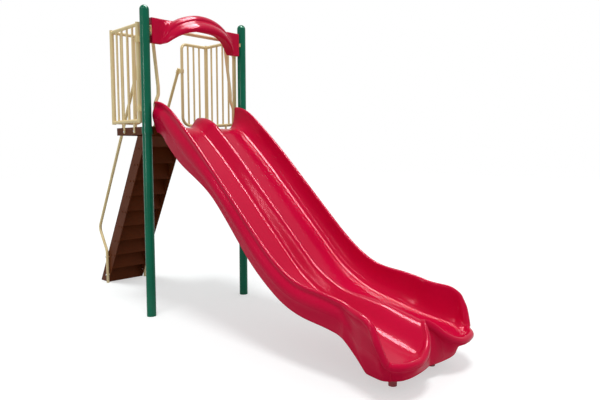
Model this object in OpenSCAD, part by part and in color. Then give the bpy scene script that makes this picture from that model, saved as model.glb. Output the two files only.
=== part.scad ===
// Free-standing double wave slide: a moulded bed with two chutes side by side, an arched hood,
// two posts, a deck with barriers, and a closed stair with handrails behind it.
// X runs from the stair to the slide's exit, Y across the chutes, Z up from the ground.

/* [Posts] */
// Outside diameter of a post
post_d = 89; // [76:1:114]
// Wall of a post
post_wall = 3; // [2:0.5:6]
// Height of a post tube without its cap
post_height = 2903; // [2850:1:3500]
// Distance between the post axes
post_spacing = 1156; // [1140:1:1400]

/* [Deck] */
// Height of the deck's walking surface
deck_height = 1830; // [1500:1:1900]
// Distance from the post axes to the deck's rear edge
deck_rear = 630; // [520:1:800]
// Thickness of the deck sheet and its flanges
deck_sheet = 5; // [3:0.5:8]
// Depth of the flange round the deck
deck_flange = 75; // [70:1:120]

/* [Slide bed] */
// Half of the distance between the outer rims
rim_y = 488; // [470:1:500]
// Radius of the rolled rim
rim_roll = 18; // [12:1:20]
// Half of the width of the middle ridge
ridge_half = 120; // [90:1:150]
// Where the outer wall starts to rise from a chute's floor
wall_foot = 375; // [320:1:400]
// Height of the outer walls at the deck
wall_entry = 240; // [200:1:280]
// Height of the outer walls along the run
wall_run = 186; // [160:1:220]
// Height of the outer walls at the exit
wall_out = 285; // [220:1:290]
// Height of the middle ridge along the run
ridge_height = 103; // [70:1:130]
// Height of the middle ridge at the exit
ridge_out = 160; // [120:1:180]
// Half of the width of the middle ridge at the exit
ridge_wide = 205; // [150:1:230]
// Thickness of the moulded skin
bed_skin = 8; // [5:0.5:10]
// Height of the exit skirt's lower edge
foot_height = 98; // [80:1:130]
// How far the outer rims stop short of the lip
rim_short = 145; // [100:1:220]
// Widening of the bed at its exit, as a share of its width
exit_flare = 0.15; // [0:0.01:0.2]
// Depth of the fork between the two exits
fork = 200; // [100:1:220]

/* [Exit legs] */
// Outside diameter of an exit leg
leg_d = 60; // [48:1:76]
// Wall of an exit leg
leg_wall = 4; // [2:0.5:8]
// Distance from the bed's rear face to the leg axis
leg_x = 2590; // [2500:1:2650]

/* [Hood] */
// Height of the hood's lower edge at the posts
hood_low = 2610; // [2500:1:2650]
// Height of the hood's flat top at the posts
hood_high = 2842; // [2780:1:2900]
// Rise of the hood's lower edge in the middle
hood_arch = 135; // [80:1:150]
// Rise of the hood's crown above its flat top
hood_crown = 83; // [40:1:120]
// How far the hood stands out over the slide
hood_reach = 190; // [100:1:260]
// Thickness of the hood's end panels
hood_depth = 66; // [50:1:90]
// Thickness of the hood's moulded skin
hood_skin = 6; // [4:0.5:10]

/* [Tubes] */
// Outside diameter of rails, hoop and handrails
rail_d = 33; // [27:1:42]
// Wall of the tubes
rail_wall = 3; // [2:0.5:4]
// Outside diameter of the barriers' uprights
upright_d = 42; // [38:1:48]
// Diameter of the pickets
picket_d = 21; // [16:1:25]

/* [Barriers] */
// Height of the top rail's axis above the deck
barrier_top = 960; // [740:1:1000]
// Height of the bottom rail's axis above the deck
barrier_low = 58; // [45:1:90]
// Distance from the post axis to the front upright
front_upright = 130; // [105:1:160]
// Pickets in a side barrier
side_pickets = 4; // [3:1:6]
// Pickets in a rear barrier
rear_pickets = 3; // [2:1:4]
// Bend radius of a rear barrier's upper corner
upper_bend = 55; // [45:1:80]
// Bend radius of a rear barrier's lower corner
lower_bend = 95; // [45:1:120]

/* [Stair] */
// Width of the stair over its stringers
stair_width = 460; // [400:1:600]
// Slope of the stair in degrees
stair_angle = 60.8; // [55:0.1:68]
// Depth of a stringer across its slope
stringer_depth = 163; // [130:1:200]
// Thickness of a stringer
stringer_t = 8; // [5:0.5:12]
// Steps below the deck
step_count = 9; // [6:1:10]
// Depth of a tread
tread_depth = 150; // [125:1:165]
// Thickness of a step's sheet
step_sheet = 4; // [2:0.5:6]

/* [Handrails] */
// Distance from the stringer's rear edge to the handrail, across the slope
handrail_off = 286; // [200:1:340]
// Height where the handrail's leg turns back
handrail_turn = 395; // [300:1:450]
// Height of the handrail's knee
handrail_knee = 660; // [600:1:760]
// Height of the handrail's upper end above the deck
handrail_top = 694; // [600:1:760]
// Bend radius of the handrails
handrail_bend = 100; // [70:1:130]

/* [Fasteners] */
// Diameter of a bolt
bolt_d = 10; // [8:1:12]
// Radial room round a bolt, and between a clamp and its tube
fit_gap = 0.4; // [0.2:0.1:0.8]
// Wall of a clamp
clamp_wall = 5; // [4:0.5:8]
// Gap between parts that stand side by side
side_gap = 2; // [1:0.5:4]

/* [Hidden] */
$fn = 48;
crimson = "#cf1240";
green = "#0b5a45";
tan = "#e8cf9f";
brown = "#4f2318";
steel = "#b9bcc0";

post_y = post_spacing / 2;
rail_r = rail_d / 2;
// An upright stays wider than the rails that end in it.
upright = max(upright_d, rail_d + 9);
// How far an upright runs on past its rails
upright_end = 4;
barrier_x = -(deck_rear + side_gap + rail_r);
deck_edge = post_y - rail_r - side_gap;
low_rail = deck_height + barrier_low;
top_rail = deck_height + barrier_top;
stair_y = stair_width / 2;
hand_y = stair_y + side_gap + rail_r;
hole_d = bolt_d + 2 * fit_gap;
tab_w = 28;
tab_low = 18;
// How far a step stays back from its stringers' front edges.
edge_gap = 3;
tab_t = 6;
// Where the barriers' and the hood's saddles stop, as a share of the post's radius from its axis.
saddle_share = 0.55;
hood_saddle = 0.85;

// Smooth step from 0 to 1.
function ease(t) = let (c = min(1, max(0, t))) c * c * (3 - 2 * c);
function unit(v) = v / norm(v);
function last(v) = v[len(v) - 1];

// Floor line of the chutes: each row is the length of a stretch and the slope at its end.
bends = [[50, 0], [210, 37.5], [660, 42.5], [1000, 42.5], [640, 10], [360, 15], [430, 6]];
// Depth of the outer skirt below the rim, by distance along the floor.
skirt_depths = [[0, 300], [450, 320], [1150, 205], [1900, 240], [2700, 255]];
// Height of the outer walls by distance along the floor.
wall_heights = [[0, wall_entry], [250, wall_run], [1700, wall_run], [2150, wall_run + 20],
    [2850, wall_out - 27], [3150, wall_out]];
// Outer skirt from the rim's crest. Along the sides: outward, downward.
side_form = [[13, 5], [18, 18], [16, 36], [21, 52], [29, 72], [29, 98], [19, 124], [5, 146], [-3, 172],
    [-5, 205]];
// Round the exit: outward, share of the way in to the foot, downward for the bead's four rows, and then
// as a share of what is left above the foot.
exit_form = [[11, 0, 3], [18, 0, 13], [17, 0, 27], [9, 0.04, 38], [1, 0.2, 0.08], [0, 0.42, 0.18],
    [0, 0.62, 0.32], [0, 0.8, 0.5], [0, 0.9, 0.74], [0, 1, 1]];
// Below a high wall the skirt turns in late: share of the way in, and downward as a share of what is left.
wall_form = [[0, 0], [0, 0], [0, 0], [0, 0], [0, 0.15], [0.02, 0.35], [0.1, 0.54], [0.4, 0.68],
    [0.78, 0.84], [1, 1]];
tall_from = 45;
tall_run = 150;
roll_rows = 3;
bead_rows = 4;

chute_y = (ridge_half + wall_foot) / 2;
foot_share = 0.8;
foot_centre = [2450, 0, 0];
fork_round = 35;
fork_fill = 0.8;
// Outer rims at the exit: length of the whole drop and of its steep part, the share of the height lost in
// the steep part, how far before the lip the drop ends, and how much the rim draws in as it falls.
rim_drop = 200;
rim_plunge = 110;
rim_break = 0.75;
rim_late = 88;
rim_tuck = 0.35;
rim_lip = 22;
lip_bead = 20;
lip_run = 80;
lip_crest = 16;
crest_run = 40;
// How far back from the lip each change toward the exit starts, and over what length it goes on.
bow_from = 620;
upright_from = 650;
upright_run = 350;
flare_from = 560;
flare_run = 460;
bead_from = 900;
bead_run = 600;
bead_more = 0.5;
steep_from = 800;
steep_run = 500;
steep_most = 0.55;
spread_from = 1000;
spread_run = 700;
turn_from = 430;
turn_run = 170;
calm_from = 560;
calm_run = 360;
calm_rows = 6;
// Sharpness of the fork's corner, how its lip climbs to the ridge, and the width where its bead shrinks.
fork_sharp = 0.97;
fork_climb = 2.2;
fork_calm = 60;
fork_thin = 0.7;
bed_runs = [for (b = bends) b[0]];
function sum(v, i = 0) = i < len(v) ? v[i] + sum(v, i + 1) : 0;
bed_length = sum(bed_runs);

function stretch(run, a, b) = a == b
    ? run * [cos(a), -sin(a)]
    : run / ((b - a) * PI / 180) * [sin(b) - sin(a), cos(b) - cos(a)];
// Where each stretch starts: distance, slope and place.
starts = [for (i = 0, p = [0, deck_height], s = 0, a = 0;
    i < len(bends);
    p = p + stretch(bends[i][0], a, bends[i][1]), s = s + bends[i][0], a = bends[i][1], i = i + 1)
    [s, a, p]];
// Place and slope of the floor line at a distance: x, z, degrees.
function floor_at(s) =
    let (i = last([for (k = [0 : len(bends) - 1]) if (k == 0 || starts[k][0] < s) k]),
        run = s - starts[i][0],
        a = starts[i][1] + (bends[i][1] - starts[i][1]) * run / bends[i][0],
        p = starts[i][2] + stretch(run, starts[i][1], a))
    [p[0], p[1], a];

// A value that eases from row to row of a table of distances and values.
function along(table, s) =
    let (i = last([for (k = [0 : len(table) - 1]) if (k == 0 || table[k][0] <= s) k]),
        a = table[i],
        b = table[min(i + 1, len(table) - 1)])
    a[1] + (b[1] - a[1]) * (b[0] == a[0] ? 0 : ease((s - a[0]) / (b[0] - a[0])));

// Half of a cross-section, from the ridge's crest to the rim's crest: y, how far the roll draws it in,
// and wall and roll shares.
half_section = [
    for (k = [0 : 5]) [ridge_half * k / 5, 0, 0, 0],
    for (k = [1 : 4]) [ridge_half + (wall_foot - ridge_half) * k / 5, 0, 0, 0],
    for (a = [0 : 22.5 : 90]) [wall_foot + (rim_y - wall_foot) * sin(a), sin(a), 1 - cos(a), 0],
    for (b = [45, 90]) [rim_y, cos(b), 1, sin(b)]
];
half_count = len(half_section);
columns = 2 * half_count - 1;
function section_at(j) = half_section[abs(j - half_count + 1)];
function side_of(j) = sign(j - half_count + 1);

// How near a column lies to the fork between the exits: 0 at a chute's middle, 1 at the ridge.
function fork_share(y) = max(0, (chute_y - norm([y, fork_round]) + fork_round) / chute_y);
// How far a column stops short of the lip, so that each chute ends in a round spoon.
function short_at(y) = y < chute_y
    ? fork * (1 - sqrt(1 - pow(fork_sharp * fork_share(y), 2)))
    : rim_short * (1 - sqrt(max(0, 1 - pow((y - chute_y) / (rim_y - chute_y), 2))));
// The rolled rims grow into a thick bead round the exits.
function thick_at(s) = 1 + bead_more * ease((s - bed_length + bead_from) / bead_run);

// Share of the outer wall's height that is left where its rim drops to the lip.
function rim_fall(run) =
    let (left = max(0, bed_length - rim_late - run))
    rim_break * ease(left / rim_plunge) + (1 - rim_break) * ease(left / rim_drop);
function wall_at(run) = rim_lip + (along(wall_heights, run) - rim_lip) * rim_fall(run);

// A point of the upper skin: s is the row's distance, j its column.
function skin_point(s, j) =
    let (h = section_at(j),
        roll = rim_roll * thick_at(s),
        y = h[0] - h[1] * roll,
        bow = pow(max(0, (s - bed_length + bow_from) / bow_from), 1.5),
        run = s - short_at(y) * bow,
        left = bed_length - short_at(y) - run,
        f = floor_at(run),
        lean = f[2] * (1 - ease((run - bed_length + upright_from) / upright_run)),
        flare = 1 + exit_flare * ease((run - bed_length + flare_from) / flare_run),
        fall = rim_fall(run),
        wall = wall_at(run),
        dive = atan((wall_at(run - 2) - wall_at(run + 2)) / 4),
        steep = steep_most * fall * ease((run - bed_length + steep_from) / steep_run),
        foot = wall_foot + (rim_y - wall_foot) * steep,
        spread = (foot - ridge_half) / (wall_foot - ridge_half),
        across = flare * (y > wall_foot
            ? foot + (y - wall_foot) * (1 - steep) * (1 - rim_tuck * (1 - fall))
            : min(y, ridge_half) + max(0, y - ridge_half) * spread),
        out = ease((run - bed_length + spread_from) / spread_run),
        hump = min(1, y / (ridge_half + (ridge_wide - ridge_half) * out)),
        ridge = ridge_height + (ridge_out - ridge_height) * out,
        level = ridge * (1 + cos(180 * hump)) / 2 + h[2] * (wall - roll) + h[3] * roll * cos(dive),
        lip = y < chute_y ? lip_bead + (ridge_out - lip_bead) * pow(fork_share(y), fork_climb) : lip_bead,
        up = level + (max(level, lip) - level) * (1 - ease(left / lip_run))
            + lip_crest * (1 - ease(left / crest_run)))
    [f[0] + h[3] * roll * sin(dive) + up * sin(lean), side_of(j) * across, f[1] + up * cos(lean)];

// Rows: close together at the entry and the exit, wide apart on the straight run.
function rows(s0) = [
    s0,
    for (s = [30 : 40 : 270]) s,
    for (s = [350 : 200 : 1950]) s,
    for (s = [2040 : 120 : bed_length - 500]) s,
    for (k = [0 : exit_rows]) bed_length - 450 + 450 * k / exit_rows
];
exit_rows = 21;
row_count = len(rows(0));
function skin(s0) = [for (s = rows(s0)) for (j = [0 : columns - 1]) skin_point(s, j)];
function skin_id(i, j) = i * columns + j;

// The skin's border: down the left rim, round the exit and back up the right rim, as row and column.
border = [
    for (i = [0 : row_count - 1]) [i, 0],
    for (j = [1 : columns - 2]) [row_count - 1, j],
    for (i = [row_count - 1 : -1 : 0]) [i, columns - 1]
];
border_count = len(border);
form_count = len(side_form);
skin_count = row_count * columns;
function skirt_id(k, m) = m == 0
    ? skin_id(border[k][0], border[k][1])
    : skin_count + k * form_count + m - 1;

// Skirt points below the border of a skin.
function skirt(p, s0) = [
    for (k = [0 : border_count - 1])
        let (here = p[skirt_id(k, 0)],
            before = p[skirt_id(max(0, k - 1), 0)],
            after = p[skirt_id(min(border_count - 1, k + 1), 0)],
            path = unit(after - before),
            y = section_at(border[k][1])[0],
            at_lip = border[k][0] == row_count - 1,
            across = unit([path[1], -path[0], 0]),
            under = cross(path, across),
            out = across * (at_lip ? 1 - fork_thin * exp(-pow(y / fork_calm, 2)) : 1),
            s = rows(s0)[border[k][0]],
            thick = thick_at(s),
            turn = ease((s - bed_length + turn_from) / turn_run),
            calm_turn = ease((s - bed_length + calm_from) / calm_run),
            notch = at_lip && y < chute_y ? fork_fill * short_at(y) : 0,
            foot = foot_centre + (here + [notch, 0, 0] - foot_centre) * foot_share,
            inward = [foot[0] - here[0], foot[1] - here[1], 0],
            a = floor_at(min(s, bed_length))[2] * (1 - turn),
            deep = along(skirt_depths, s) / last(side_form)[1],
            bead = exit_form[bead_rows - 1][2] * thick,
            low = here[2] - foot_height - bead,
            tall = at_lip && y <= chute_y ? 0 : ease((here[2] - floor_at(min(s, bed_length))[1] - tall_from) / tall_run))
        for (m = [0 : form_count - 1])
            let (grow = m < roll_rows ? thick : 1,
                fall = side_form[m][1] * (m < roll_rows ? thick : deep),
                form = exit_form[m],
                share = form[1] + (wall_form[m][0] - form[1]) * tall,
                depth = form[2] + (wall_form[m][1] - form[2]) * tall,
                drop = m < bead_rows ? form[2] * thick * under : [0, 0, -bead - depth * low],
                side = here + side_form[m][0] * grow * out - fall * [sin(a), 0, cos(a)],
                exit = here + form[0] * thick * out + share * inward + drop)
            side + (exit - side) * (m < calm_rows ? calm_turn : turn)
];

function bed_outer(s0) = let (p = skin(s0)) concat(p, skirt(p, s0));

// Unit normal of a surface point from its neighbours along two grid directions.
function normal(a, b, c, d) = unit(cross(b - a, d - c));
function skin_normal(p, i, j) = normal(
    p[skin_id(max(0, i - 1), j)], p[skin_id(min(row_count - 1, i + 1), j)],
    p[skin_id(i, max(0, j - 1))], p[skin_id(i, min(columns - 1, j + 1))]);
function skirt_normal(p, k, m) = normal(
    p[skirt_id(k, max(0, m - 1))], p[skirt_id(k, min(form_count, m + 1))],
    p[skirt_id(max(0, k - 1), m)], p[skirt_id(min(border_count - 1, k + 1), m)]);
function on_border(i, j) = j == 0 || j == columns - 1 || i == row_count - 1;
// Inner points: the outer ones, moved in by the skin's thickness.
function bed_inner(p, s0) = [
    for (i = [0 : row_count - 1]) for (j = [0 : columns - 1])
        let (a = floor_at(rows(s0)[i])[2],
            n = on_border(i, j) ? [sin(a), 0, cos(a)] : skin_normal(p, i, j))
        p[skin_id(i, j)] - bed_skin * n,
    for (k = [0 : border_count - 1]) for (m = [1 : form_count])
        p[skirt_id(k, m)] - bed_skin * skirt_normal(p, k, m)
];

module bed_shell() {
    outer = bed_outer(0);
    inner = bed_inner(bed_outer(bed_skin), bed_skin);
    n = len(outer);
    skin_quads = [for (i = [0 : row_count - 2]) for (j = [0 : columns - 2])
        [skin_id(i, j), skin_id(i, j + 1), skin_id(i + 1, j + 1), skin_id(i + 1, j)]];
    skirt_quads = [for (k = [0 : border_count - 2]) for (m = [0 : form_count - 1])
        [skirt_id(k, m), skirt_id(k + 1, m), skirt_id(k + 1, m + 1), skirt_id(k, m + 1)]];
    top = concat(skin_quads, skirt_quads);
    tris = [for (q = top) each [[q[0], q[1], q[2]], [q[0], q[2], q[3]]]];
    under = [for (t = tris) [t[2] + n, t[1] + n, t[0] + n]];
    edge = [for (k = [0 : border_count - 2])
        let (a = skirt_id(k, form_count), b = skirt_id(k + 1, form_count))
        each [[a, b, b + n], [a, b + n, a + n]]];
    rear = [
        for (m = [form_count : -1 : 1]) skirt_id(border_count - 1, m),
        for (j = [columns - 1 : -1 : 0]) skin_id(0, j),
        for (m = [1 : form_count]) skirt_id(0, m)
    ];
    rear_in = [for (k = [len(rear) - 1 : -1 : 0]) rear[k] + n];
    sill = [rear[0], last(rear), last(rear) + n, rear[0] + n];
    polyhedron(concat(outer, inner), concat(tris, under, edge, [rear, rear_in, sill]), convexity = 8);
}

// Places, all measured from the ground midway between the posts.
bed_points = bed_outer(0);
bed_front = max([for (p = bed_points) p[0]]);
clamp_r = post_d / 2 + fit_gap + clamp_wall;
notch_x = clamp_r + tab_t - 2;
notch_y = post_y - clamp_r - 22;
hood_half = post_y - clamp_r - tab_t - 4;
leg_run = [for (s = [2800 : 5 : bed_length]) if (floor_at(s)[0] >= leg_x) s][0];
leg_floor = floor_at(leg_run);
plate_t = 6;

rise = deck_height / (step_count + 1);
// Front and rear edges of a stringer, and the handrail's line, at a height.
function front_x(z) = -deck_rear - (deck_height - deck_flange - z) / tan(stair_angle);
function rear_x(z) = front_x(z) - stringer_depth / sin(stair_angle);
function hand_x(z) = rear_x(z) - handrail_off / sin(stair_angle);
hand_fix = [100, 320];
hand_foot = front_x(hand_fix[0]) - 28;
hand_end = deck_height + handrail_top;
hand_path = [
    [hand_foot, hand_y, 0],
    [hand_foot, hand_y, handrail_turn],
    [hand_x(handrail_knee), hand_y, handrail_knee],
    [hand_x(hand_end), hand_y, hand_end]
];
// Point of the handrail gripped by its clamp.
grip = [hand_x(hand_end - 32), hand_y, hand_end - 32];

hoop_x = -22;
hoop_y = rim_y - 14;
hoop_in = hoop_y - 37;
hoop_back = -100;
hoop_top = deck_height + 945;
hoop_path = [
    [hoop_x, -hoop_y, deck_height],
    [hoop_x, -hoop_y, deck_height + 220],
    [hoop_x, -hoop_in, deck_height + 305],
    [hoop_x, -hoop_in, deck_height + 385],
    [hoop_back, -hoop_in, deck_height + 830],
    [hoop_back, -hoop_in, hoop_top],
    [hoop_back, hoop_in, hoop_top],
    [hoop_back, hoop_in, deck_height + 830],
    [hoop_x, hoop_in, deck_height + 385],
    [hoop_x, hoop_in, deck_height + 305],
    [hoop_x, hoop_y, deck_height + 220],
    [hoop_x, hoop_y, deck_height]
];
rear_path = [
    [barrier_x, post_y, top_rail],
    [barrier_x, hand_y, top_rail],
    [barrier_x, hand_y, low_rail],
    [barrier_x, post_y, low_rail]
];

// Bolt places on the right-hand side, or across the middle.
slide_spots = [for (y = [-330, -150, 150, 330]) [0, y, deck_height - 34]];
clamp_spots = [for (z = [22, 54]) [-notch_x, notch_y + 26, deck_height - z]];
lug_spots = [for (z = [22, 54]) [-deck_rear, stair_y + 34, deck_height - z]];
riser_spots = [for (y = [-150, 0, 150]) [-deck_rear, y, deck_height - 38]];
side_tabs = [for (t = [0.27, 0.655]) -front_upright + (barrier_x + front_upright) * t];
rear_tabs = [for (t = [0.3, 0.72]) hand_y + (post_y - hand_y) * t];
tab_z = deck_height - 40;
hoop_spots = [[-66, hoop_y, deck_height]];
hood_spots = [for (z = [-30, 30]) [0, hood_half, (hood_low + hood_high) / 2 + z]];
clamp_levels = [deck_height + 170, top_rail - 140];
step_spots = [for (k = [1 : step_count]) for (x = [38, 103])
    [front_x(k * rise) - x, stair_y, k * rise - step_sheet - 15]];

// The part's middle along X lies over the origin.
knee = bend_centre(hand_path, 2, handrail_bend);
stair_back = min(rear_x(0), knee[0] - handrail_bend - rail_r);
post_x = -(bed_front + stair_back) / 2;

function bend_cut(p, i, r) = r * tan(acos(unit(p[i] - p[i - 1]) * unit(p[i + 1] - p[i])) / 2);
function bend_centre(p, i, r) =
    let (u = unit(p[i] - p[i - 1]), v = unit(p[i + 1] - p[i]))
    p[i] - u * bend_cut(p, i, r) + r * unit(v - (u * v) * u);

module right() {
    translate([post_x, 0, 0]) children();
}

module left() {
    translate([post_x, 0, 0]) mirror([0, 1, 0]) children();
}

module ring(d, wall) {
    difference() {
        circle(d = d);
        circle(d = d - 2 * wall);
    }
}

module bore_x(p, long, d = hole_d) {
    translate(p) rotate([0, 90, 0]) cylinder(d = d, h = long, center = true);
}

module bore_y(p, long, d = hole_d) {
    translate(p) rotate([90, 0, 0]) cylinder(d = d, h = long, center = true);
}

module bore_z(p, long, d = hole_d) {
    translate(p) cylinder(d = d, h = long, center = true);
}

// Bolt along Z with its head below 0 and its nut above the grip.
module bolt(clamped) {
    translate([0, 0, -6]) cylinder(d = 1.8 * bolt_d, h = 6);
    translate([0, 0, -1]) cylinder(d = bolt_d, h = clamped + 2);
    translate([0, 0, clamped]) cylinder(d = 1.75 * bolt_d, h = 8, $fn = 6);
}

// Straight piece of tube between two points.
module straight(a, b, d, wall) {
    v = b - a;
    turn = [0, acos(v[2] / norm(v)), atan2(v[1], v[0])];
    translate(a) rotate(turn) linear_extrude(norm(v)) ring(d, wall);
}

// Bent tube through a list of points, with one radius for each inner point.
module tube(p, radii, d = rail_d, wall = rail_wall) {
    n = len(p);
    for (i = [0 : n - 2]) {
        v = unit(p[i + 1] - p[i]);
        a = i == 0 ? p[i] : p[i] + v * bend_cut(p, i, radii[i - 1]);
        b = i == n - 2 ? p[i + 1] : p[i + 1] - v * bend_cut(p, i + 1, radii[i]);
        straight(a, b, d, wall);
    }
    for (i = [1 : n - 2]) {
        r = radii[i - 1];
        u = unit(p[i] - p[i - 1]);
        v = unit(p[i + 1] - p[i]);
        m = unit(v - (u * v) * u);
        w = cross(u, m);
        c = bend_centre(p, i, r);
        place = [for (k = [0 : 2]) [-m[k], u[k], w[k], c[k]]];
        multmatrix(concat(place, [[0, 0, 0, 1]]))
            rotate_extrude(angle = acos(u * v)) translate([r, 0]) ring(d, wall);
    }
}

// Places and directions along a bent path: its ends and a few stops round every bend.
function path_stops(p, radii) = let (n = len(p), stops = 5) [
    [p[0], unit(p[1] - p[0])],
    for (i = [1 : n - 2])
        let (r = radii[i - 1],
            u = unit(p[i] - p[i - 1]),
            v = unit(p[i + 1] - p[i]),
            m = unit(v - (u * v) * u),
            c = bend_centre(p, i, r))
        for (k = [0 : stops])
            let (a = acos(u * v) * k / stops)
            [c - r * (m * cos(a) - u * sin(a)), u * cos(a) + m * sin(a)],
    [p[n - 1], unit(p[n - 1] - p[n - 2])]
];

// Bent tube as one skin, for paths that turn in odd directions.
// The cross direction is one that no part of the path follows.
module bent_tube(p, radii, cross_way, d = rail_d, wall = rail_wall, sides = 24) {
    stops = path_stops(p, radii);
    n = len(stops);
    points = [for (q = stops)
        let (a = unit(cross_way - (cross_way * q[1]) * q[1]), b = cross(q[1], a))
        for (r = [d / 2, d / 2 - wall]) for (k = [0 : sides - 1])
            q[0] + r * (a * cos(360 * k / sides) + b * sin(360 * k / sides))];
    skins = [for (i = [0 : n - 2]) for (k = [0 : sides - 1])
        let (a = 2 * i * sides, b = a + 2 * sides, j = (k + 1) % sides)
        each [
            [a + k, b + k, b + j], [a + k, b + j, a + j],
            [a + sides + k, b + sides + j, b + sides + k], [a + sides + k, a + sides + j, b + sides + j]
        ]];
    e = 2 * (n - 1) * sides;
    ends = [for (k = [0 : sides - 1])
        let (j = (k + 1) % sides)
        each [
            [k, j, j + sides], [k, j + sides, k + sides],
            [e + k, e + j + sides, e + j], [e + k, e + k + sides, e + j + sides]
        ]];
    polyhedron(points, concat(skins, ends), convexity = 8);
}

// Cast clamp that grips a tube along -X of the origin. At the origin it has a second ring, or a saddle
// against one side of a post.
module twin_clamp(d1, d2, apart, high, tilt = 0, saddle = false) {
    r1 = d1 / 2 + (saddle ? 0 : fit_gap);
    r2 = d2 / 2 + fit_gap;
    difference() {
        union() {
            cylinder(r = r1 + clamp_wall, h = high, center = true);
            translate([-apart, 0, 0]) rotate([0, tilt, 0])
                cylinder(r = r2 + clamp_wall, h = high, center = true);
            translate([-apart, -clamp_wall, -high / 2]) cube([apart, 2 * clamp_wall, high]);
        }
        cylinder(r = r1, h = 2 * high, center = true);
        translate([-apart, 0, 0]) rotate([0, tilt, 0]) cylinder(r = r2, h = 3 * high, center = true);
        if (saddle) translate([-saddle_share * r1, -d1, -high]) cube([2 * d1, 2 * d1, 2 * high]);
    }
}

module post() {
    color(green) translate([0, post_y, 0]) linear_extrude(post_height) ring(post_d, post_wall);
}

module post_cap() {
    plug = 30;
    color(green) translate([0, post_y, post_height]) {
        intersection() {
            sphere(d = post_d);
            cylinder(d = 2 * post_d, h = post_d);
        }
        translate([0, 0, -plug]) cylinder(d = post_d - 2 * post_wall - 2 * fit_gap, h = plug + 1);
    }
}

module deck_outline(inset) {
    polygon([
        [-deck_rear + inset, -deck_edge + inset],
        [-notch_x - inset, -deck_edge + inset],
        [-notch_x - inset, -notch_y + inset],
        [-inset, -notch_y + inset],
        [-inset, notch_y - inset],
        [-notch_x - inset, notch_y - inset],
        [-notch_x - inset, deck_edge - inset],
        [-deck_rear + inset, deck_edge - inset]
    ]);
}

module deck() {
    rib = 40;
    color(brown) right() difference() {
        union() {
            translate([0, 0, deck_height - deck_sheet]) linear_extrude(deck_sheet) deck_outline(0);
            translate([0, 0, deck_height - deck_flange]) linear_extrude(deck_flange) difference() {
                deck_outline(0);
                deck_outline(deck_sheet);
            }
            for (t = [1 / 3, 2 / 3])
                translate([-deck_rear * t, -deck_edge + deck_sheet / 2, deck_height - deck_sheet / 2 - rib])
                    cube([deck_sheet, 2 * deck_edge - deck_sheet, rib]);
        }
        for (p = concat(slide_spots, riser_spots)) bore_x(p, 4 * deck_sheet);
        for (y = [-1, 1]) {
            for (p = concat(clamp_spots, lug_spots)) bore_x([p[0], y * p[1], p[2]], 4 * deck_sheet);
            for (x = side_tabs) bore_y([x, y * deck_edge, tab_z], 4 * deck_sheet);
            for (t = rear_tabs) bore_x([-deck_rear, y * t, tab_z], 4 * deck_sheet);
            for (p = hoop_spots) bore_z([p[0], y * p[1], p[2]], 4 * deck_sheet);
        }
    }
}

// Ring round a post with a plate that bolts to the deck's notch.
module deck_clamp() {
    high = 64;
    low = deck_height - deck_flange / 2 - high / 2;
    color(green) difference() {
        union() {
            translate([0, post_y, low]) cylinder(r = clamp_r, h = high);
            translate([-notch_x, notch_y + 4, low]) cube([tab_t, post_y - notch_y, high]);
        }
        translate([0, post_y, low - 1]) cylinder(r = clamp_r - clamp_wall, h = high + 2);
        for (p = clamp_spots) bore_x(p, 4 * tab_t);
    }
}

module slide_bed() {
    color(crimson) right() bed_shell();
}

// Pipe under a chute's exit with a plate that follows the floor above it.
module exit_leg() {
    under = bed_skin + plate_t / 2 + 1;
    top = [leg_floor[0], chute_y, leg_floor[1]];
    tilt = [0, leg_floor[2], 0];
    trim = 4 * leg_d;
    color(crimson) {
        difference() {
            translate([top[0], top[1], 0]) linear_extrude(top[2]) ring(leg_d, leg_wall);
            translate(top) rotate(tilt) translate([0, 0, trim / 2 - under]) cube(trim, center = true);
        }
        translate(top) rotate(tilt) translate([0, 0, -under])
            cube([leg_d + 10, leg_d + 50, plate_t], center = true);
    }
}

// Front of the hood, from the lip to the crown: share of the way up, share of the reach.
hood_form = [[0, 0.86], [0.06, 0.96], [0.15, 1], [0.28, 0.97], [0.4, 0.89], [0.5, 0.79], [0.58, 0.68],
    [0.64, 0.615], [0.7, 0.612], [0.8, 0.585], [0.89, 0.515], [0.96, 0.42], [1, 0.28]];
hood_arch_half = 0.76 * hood_half;
hood_bulge_half = 0.81 * hood_half;
// How squarely the lip and the rear edge turn down to the end panels, and how much higher the rear edge is.
lip_turn = 2.6;
back_turn = 5;
back_rise = 1.35;
hood_top = hood_high + hood_crown;
function hood_away(y) = min(1, abs(y) / hood_arch_half);
function hood_lip(y) = hood_low + hood_arch * (1 - pow(hood_away(y), lip_turn));
function hood_back(y) = hood_low + back_rise * hood_arch * (1 - pow(hood_away(y), back_turn));
function hood_edge(y) = hood_low + (hood_top - hood_low) * sqrt(max(0, 1 - pow(y / hood_bulge_half, 2)));
// Closed cross-section at a place across, drawn in by an inset: x and z.
function hood_ring(y, inset) =
    let (back = -hood_depth / 2 + inset,
        front = hood_depth / 2 - inset,
        lip = hood_lip(y) + inset,
        share = max(0, 1 - pow(y / hood_bulge_half, 2)),
        edge = max(lip + 30, hood_edge(y) - inset),
        top = max(hood_high - inset, edge),
        reach = hood_reach * sqrt(share),
        under = hood_back(y) + inset)
    [
        [back, under],
        for (f = hood_form) [front + reach * f[1] * (inset > 0 ? 0.96 : 1), lip + (edge - lip) * f[0]],
        [front, max(edge + 2, hood_high - inset - 12)],
        [front - 10, max(edge + 4, hood_high - inset)],
        [back + 10, hood_high - inset],
        [back, hood_high - inset - 10]
    ];
hood_steps = 40;

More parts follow.
